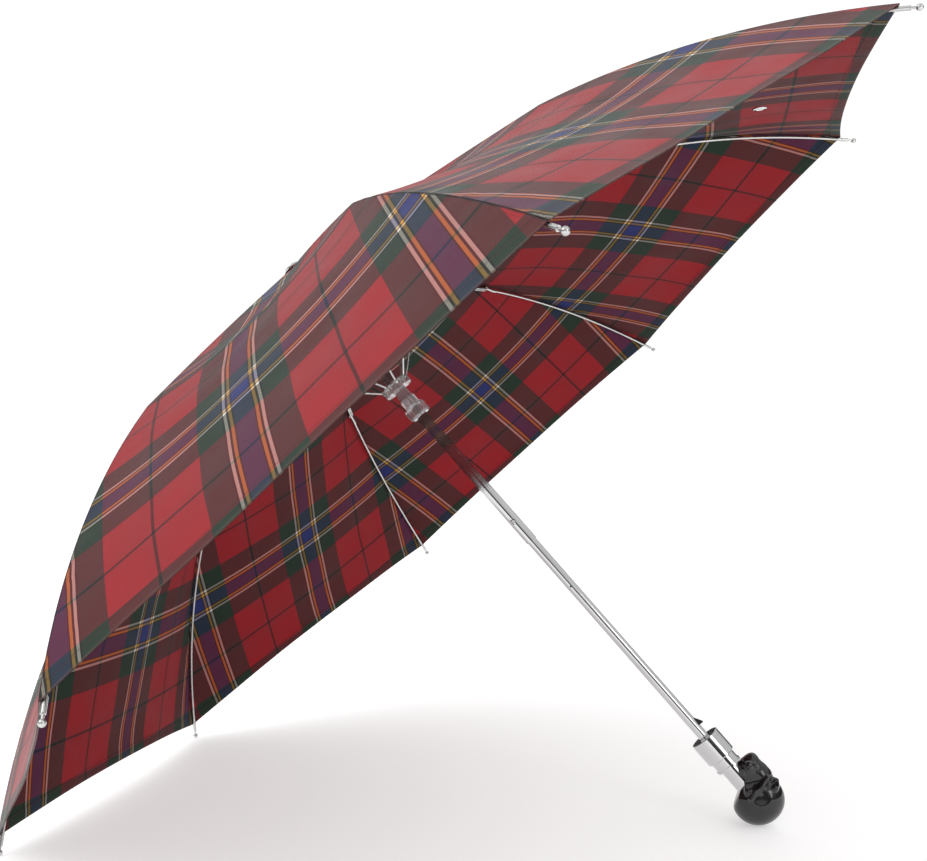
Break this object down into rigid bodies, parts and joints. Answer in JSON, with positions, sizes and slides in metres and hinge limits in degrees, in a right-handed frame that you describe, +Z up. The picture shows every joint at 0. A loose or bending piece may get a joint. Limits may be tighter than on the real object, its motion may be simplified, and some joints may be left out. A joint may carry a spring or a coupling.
{
  "type": "folding umbrella",
  "caption": "Open two-fold umbrella with a tartan cover, jointed steel ribs, a clear runner on a telescopic chrome shaft and a black skull knob.",
  "frame": {"origin": "on the floor, under the middle of the circle of rib tips", "axes": "+Z up; +X level, towards the handle; +Y level, across the shaft. The open umbrella lies on two rib tips and its knob"},
  "size_m": [0.6774, 0.8966, 0.5995],
  "materials": {
    "tartan_cover": "woven tartan with a satin sheen",
    "plated_steel": "bright zinc plate",
    "chrome_tube": "polished",
    "polished_fitting": "polished",
    "clear_plastic": "clear moulded",
    "moulded_black": "moulded",
    "dark_spring_steel": "blackened",
    "zinc_stud": "threaded",
    "black_lacquer": "high-gloss lacquer"
  },
  "bodies": {
    "upper_shaft": {"upper_tube": "chrome_tube", "top_notch": "moulded_black", "notch_wire": "plated_steel", "notch_pin": "plated_steel", "top_cap": "polished_fitting", "cap_rosette": "tartan_cover"},
    "upper_catch": {"upper_catch": "dark_spring_steel"},
    "runner": {"runner_body": "clear_plastic", "runner_wire": "plated_steel"},
    "lower_shaft": {"lower_tube": "chrome_tube", "collar_cup": "polished_fitting", "collar_ring": "polished_fitting", "neck_sleeve": "polished_fitting", "handle_stud": "zinc_stud", "skull_knob": "black_lacquer"},
    "lower_catch": {"lower_catch": "dark_spring_steel"},
    "link_button": {"link_button": "dark_spring_steel"},
    "inner_rib_1": {"inner_rib_1": "plated_steel", "cover_crown_1": "tartan_cover"},
    "outer_rib_1": {"outer_rib_1": "plated_steel", "cover_rim_1": "tartan_cover"},
    "stretcher_1": {"stretcher_1": "plated_steel"},
    "inner_rib_2": {"inner_rib_2": "plated_steel", "cover_crown_2": "tartan_cover"},
    "outer_rib_2": {"outer_rib_2": "plated_steel", "cover_rim_2": "tartan_cover"},
    "stretcher_2": {"stretcher_2": "plated_steel"},
    "inner_rib_3": {"inner_rib_3": "plated_steel", "cover_crown_3": "tartan_cover"},
    "outer_rib_3": {"outer_rib_3": "plated_steel", "cover_rim_3": "tartan_cover"},
    "stretcher_3": {"stretcher_3": "plated_steel"},
    "inner_rib_4": {"inner_rib_4": "plated_steel", "cover_crown_4": "tartan_cover"},
    "outer_rib_4": {"outer_rib_4": "plated_steel", "cover_rim_4": "tartan_cover"},
    "stretcher_4": {"stretcher_4": "plated_steel"},
    "inner_rib_5": {"inner_rib_5": "plated_steel", "cover_crown_5": "tartan_cover"},
    "outer_rib_5": {"outer_rib_5": "plated_steel", "cover_rim_5": "tartan_cover", "closure_strap": "tartan_cover", "strap_stud": "polished_fitting"},
    "stretcher_5": {"stretcher_5": "plated_steel"},
    "inner_rib_6": {"inner_rib_6": "plated_steel", "cover_crown_6": "tartan_cover"},
    "outer_rib_6": {"outer_rib_6": "plated_steel", "cover_rim_6": "tartan_cover"},
    "stretcher_6": {"stretcher_6": "plated_steel"},
    "inner_rib_7": {"inner_rib_7": "plated_steel", "cover_crown_7": "tartan_cover"},
    "outer_rib_7": {"outer_rib_7": "plated_steel", "cover_rim_7": "tartan_cover"},
    "stretcher_7": {"stretcher_7": "plated_steel"},
    "inner_rib_8": {"inner_rib_8": "plated_steel", "cover_crown_8": "tartan_cover"},
    "outer_rib_8": {"outer_rib_8": "plated_steel", "cover_rim_8": "tartan_cover"},
    "stretcher_8": {"stretcher_8": "plated_steel"}
  },
  "joints": [
    {"name": "runner_slide", "type": "slide", "parent": "upper_shaft", "child": "runner", "axis": [0.6573, 0, -0.7537], "range_m": [0, 0.12419], "deforming": ["upper_catch"]},
    {"name": "shaft_slide", "type": "slide", "parent": "upper_shaft", "child": "lower_shaft", "axis": [-0.6573, 0, 0.7537], "range_m": [0, 0.2233], "deforming": ["link_button", "lower_catch"]},
    {"name": "upper_catch_press", "type": "slide", "parent": "upper_shaft", "child": "upper_catch", "axis": [-0.2578, 0.9397, -0.2248], "range_m": [0, 0.0025], "stiffness_N_per_m": 400},
    {"name": "lower_catch_press", "type": "slide", "parent": "lower_shaft", "child": "lower_catch", "axis": [-0.7537, 0, -0.6573], "range_m": [0, 0.0034], "stiffness_N_per_m": 400},
    {"name": "link_button_press", "type": "slide", "parent": "lower_shaft", "child": "link_button", "axis": [0, 1, 0], "range_m": [0, 0.0016], "stiffness_N_per_m": 500},
    {"name": "inner_fold_1", "type": "hinge", "parent": "upper_shaft", "child": "inner_rib_1", "pos_m": [-0.15353, -0.00383, 0.45745], "axis": [0.2884, -0.9239, 0.2515], "range_deg": [0, 70.67], "deforming": ["cover_crown_1"]},
    {"name": "outer_fold_1", "type": "hinge", "parent": "inner_rib_1", "child": "outer_rib_1", "pos_m": [-0.27945, -0.09957, 0.25015], "axis": [0.2884, -0.9239, 0.2515], "range_deg": [-179.64, 0], "deforming": ["cover_rim_1"]},
    {"name": "stretcher_swing_1", "type": "hinge", "parent": "inner_rib_1", "child": "stretcher_1", "pos_m": [-0.20535, -0.04486, 0.36613], "axis": [0.2884, -0.9239, 0.2515], "range_deg": [-117.85, 0]},
    {"name": "inner_fold_2", "type": "hinge", "parent": "upper_shaft", "child": "inner_rib_2", "pos_m": [-0.15353, 0.00383, 0.45745], "axis": [-0.2884, -0.9239, -0.2515], "range_deg": [0, 70.67], "deforming": ["cover_crown_2"]},
    {"name": "outer_fold_2", "type": "hinge", "parent": "inner_rib_2", "child": "outer_rib_2", "pos_m": [-0.27945, 0.09957, 0.25015], "axis": [-0.2884, -0.9239, -0.2515], "range_deg": [-179.64, 0], "deforming": ["cover_rim_2"]},
    {"name": "stretcher_swing_2", "type": "hinge", "parent": "inner_rib_2", "child": "stretcher_2", "pos_m": [-0.20535, 0.04486, 0.36613], "axis": [-0.2884, -0.9239, -0.2515], "range_deg": [-117.85, 0]},
    {"name": "inner_fold_3", "type": "hinge", "parent": "upper_shaft", "child": "inner_rib_3", "pos_m": [-0.14946, 0.00924, 0.461], "axis": [-0.6963, -0.3827, -0.6072], "range_deg": [0, 70.67], "deforming": ["cover_crown_3"]},
    {"name": "outer_fold_3", "type": "hinge", "parent": "inner_rib_3", "child": "outer_rib_3", "pos_m": [-0.17332, 0.24039, 0.3427], "axis": [-0.6963, -0.3827, -0.6072], "range_deg": [-179.64, 0], "deforming": ["cover_rim_3"]},
    {"name": "stretcher_swing_3", "type": "hinge", "parent": "inner_rib_3", "child": "stretcher_3", "pos_m": [-0.15753, 0.1083, 0.40783], "axis": [-0.6963, -0.3827, -0.6072], "range_deg": [-117.85, 0]},
    {"name": "inner_fold_4", "type": "hinge", "parent": "upper_shaft", "child": "inner_rib_4", "pos_m": [-0.14369, 0.00924, 0.46603], "axis": [-0.6963, 0.3827, -0.6072], "range_deg": [0, 70.67], "deforming": ["cover_crown_4"]},
    {"name": "outer_fold_4", "type": "hinge", "parent": "inner_rib_4", "child": "outer_rib_4", "pos_m": [-0.02324, 0.24039, 0.47359], "axis": [-0.6963, 0.3827, -0.6072], "range_deg": [-179.64, 0], "deforming": ["cover_rim_4"]},
    {"name": "stretcher_swing_4", "type": "hinge", "parent": "inner_rib_4", "child": "stretcher_4", "pos_m": [-0.08991, 0.1083, 0.46681], "axis": [-0.6963, 0.3827, -0.6072], "range_deg": [-117.85, 0]},
    {"name": "inner_fold_5", "type": "hinge", "parent": "upper_shaft", "child": "inner_rib_5", "pos_m": [-0.13961, 0.00383, 0.46959], "axis": [-0.2884, 0.9239, -0.2515], "range_deg": [0, 70.67], "deforming": ["cover_crown_5"]},
    {"name": "outer_fold_5", "type": "hinge", "parent": "inner_rib_5", "child": "outer_rib_5", "pos_m": [0.08289, 0.09957, 0.56615], "axis": [-0.2884, 0.9239, -0.2515], "range_deg": [-179.64, 0], "deforming": ["cover_rim_5", "closure_strap"]},
    {"name": "stretcher_swing_5", "type": "hinge", "parent": "inner_rib_5", "child": "stretcher_5", "pos_m": [-0.0421, 0.04486, 0.5085], "axis": [-0.2884, 0.9239, -0.2515], "range_deg": [-117.85, 0]},
    {"name": "inner_fold_6", "type": "hinge", "parent": "upper_shaft", "child": "inner_rib_6", "pos_m": [-0.13961, -0.00383, 0.46959], "axis": [0.2884, 0.9239, 0.2515], "range_deg": [0, 70.67], "deforming": ["cover_crown_6"]},
    {"name": "outer_fold_6", "type": "hinge", "parent": "inner_rib_6", "child": "outer_rib_6", "pos_m": [0.08289, -0.09957, 0.56615], "axis": [0.2884, 0.9239, 0.2515], "range_deg": [-179.64, 0], "deforming": ["cover_rim_6"]},
    {"name": "stretcher_swing_6", "type": "hinge", "parent": "inner_rib_6", "child": "stretcher_6", "pos_m": [-0.0421, -0.04486, 0.5085], "axis": [0.2884, 0.9239, 0.2515], "range_deg": [-117.85, 0]},
    {"name": "inner_fold_7", "type": "hinge", "parent": "upper_shaft", "child": "inner_rib_7", "pos_m": [-0.14369, -0.00924, 0.46603], "axis": [0.6963, 0.3827, 0.6072], "range_deg": [0, 70.67], "deforming": ["cover_crown_7"]},
    {"name": "outer_fold_7", "type": "hinge", "parent": "inner_rib_7", "child": "outer_rib_7", "pos_m": [-0.02324, -0.24039, 0.47359], "axis": [0.6963, 0.3827, 0.6072], "range_deg": [-179.64, 0], "deforming": ["cover_rim_7"]},
    {"name": "stretcher_swing_7", "type": "hinge", "parent": "inner_rib_7", "child": "stretcher_7", "pos_m": [-0.08991, -0.1083, 0.46681], "axis": [0.6963, 0.3827, 0.6072], "range_deg": [-117.85, 0]},
    {"name": "inner_fold_8", "type": "hinge", "parent": "upper_shaft", "child": "inner_rib_8", "pos_m": [-0.14946, -0.00924, 0.461], "axis": [0.6963, -0.3827, 0.6072], "range_deg": [0, 70.67], "deforming": ["cover_crown_8"]},
    {"name": "outer_fold_8", "type": "hinge", "parent": "inner_rib_8", "child": "outer_rib_8", "pos_m": [-0.17332, -0.24039, 0.3427], "axis": [0.6963, -0.3827, 0.6072], "range_deg": [-179.64, 0], "deforming": ["cover_rim_8"]},
    {"name": "stretcher_swing_8", "type": "hinge", "parent": "inner_rib_8", "child": "stretcher_8", "pos_m": [-0.15753, -0.1083, 0.40783], "axis": [0.6963, -0.3827, 0.6072], "range_deg": [-117.85, 0]}
  ],
  "couplings": [
    {"joint": "inner_fold_1", "follows": "runner_slide", "rad_per_m": 9.9269},
    {"joint": "outer_fold_1", "follows": "runner_slide", "rad_per_m": -25.233},
    {"joint": "stretcher_swing_1", "follows": "runner_slide", "rad_per_m": -16.555},
    {"joint": "inner_fold_2", "follows": "runner_slide", "rad_per_m": 9.9269},
    {"joint": "outer_fold_2", "follows": "runner_slide", "rad_per_m": -25.233},
    {"joint": "stretcher_swing_2", "follows": "runner_slide", "rad_per_m": -16.555},
    {"joint": "inner_fold_3", "follows": "runner_slide", "rad_per_m": 9.9269},
    {"joint": "outer_fold_3", "follows": "runner_slide", "rad_per_m": -25.233},
    {"joint": "stretcher_swing_3", "follows": "runner_slide", "rad_per_m": -16.555},
    {"joint": "inner_fold_4", "follows": "runner_slide", "rad_per_m": 9.9269},
    {"joint": "outer_fold_4", "follows": "runner_slide", "rad_per_m": -25.233},
    {"joint": "stretcher_swing_4", "follows": "runner_slide", "rad_per_m": -16.555},
    {"joint": "inner_fold_5", "follows": "runner_slide", "rad_per_m": 9.9269},
    {"joint": "outer_fold_5", "follows": "runner_slide", "rad_per_m": -25.233},
    {"joint": "stretcher_swing_5", "follows": "runner_slide", "rad_per_m": -16.555},
    {"joint": "inner_fold_6", "follows": "runner_slide", "rad_per_m": 9.9269},
    {"joint": "outer_fold_6", "follows": "runner_slide", "rad_per_m": -25.233},
    {"joint": "stretcher_swing_6", "follows": "runner_slide", "rad_per_m": -16.555},
    {"joint": "inner_fold_7", "follows": "runner_slide", "rad_per_m": 9.9269},
    {"joint": "outer_fold_7", "follows": "runner_slide", "rad_per_m": -25.233},
    {"joint": "stretcher_swing_7", "follows": "runner_slide", "rad_per_m": -16.555},
    {"joint": "inner_fold_8", "follows": "runner_slide", "rad_per_m": 9.9269},
    {"joint": "outer_fold_8", "follows": "runner_slide", "rad_per_m": -25.233},
    {"joint": "stretcher_swing_8", "follows": "runner_slide", "rad_per_m": -16.555}
  ]
}
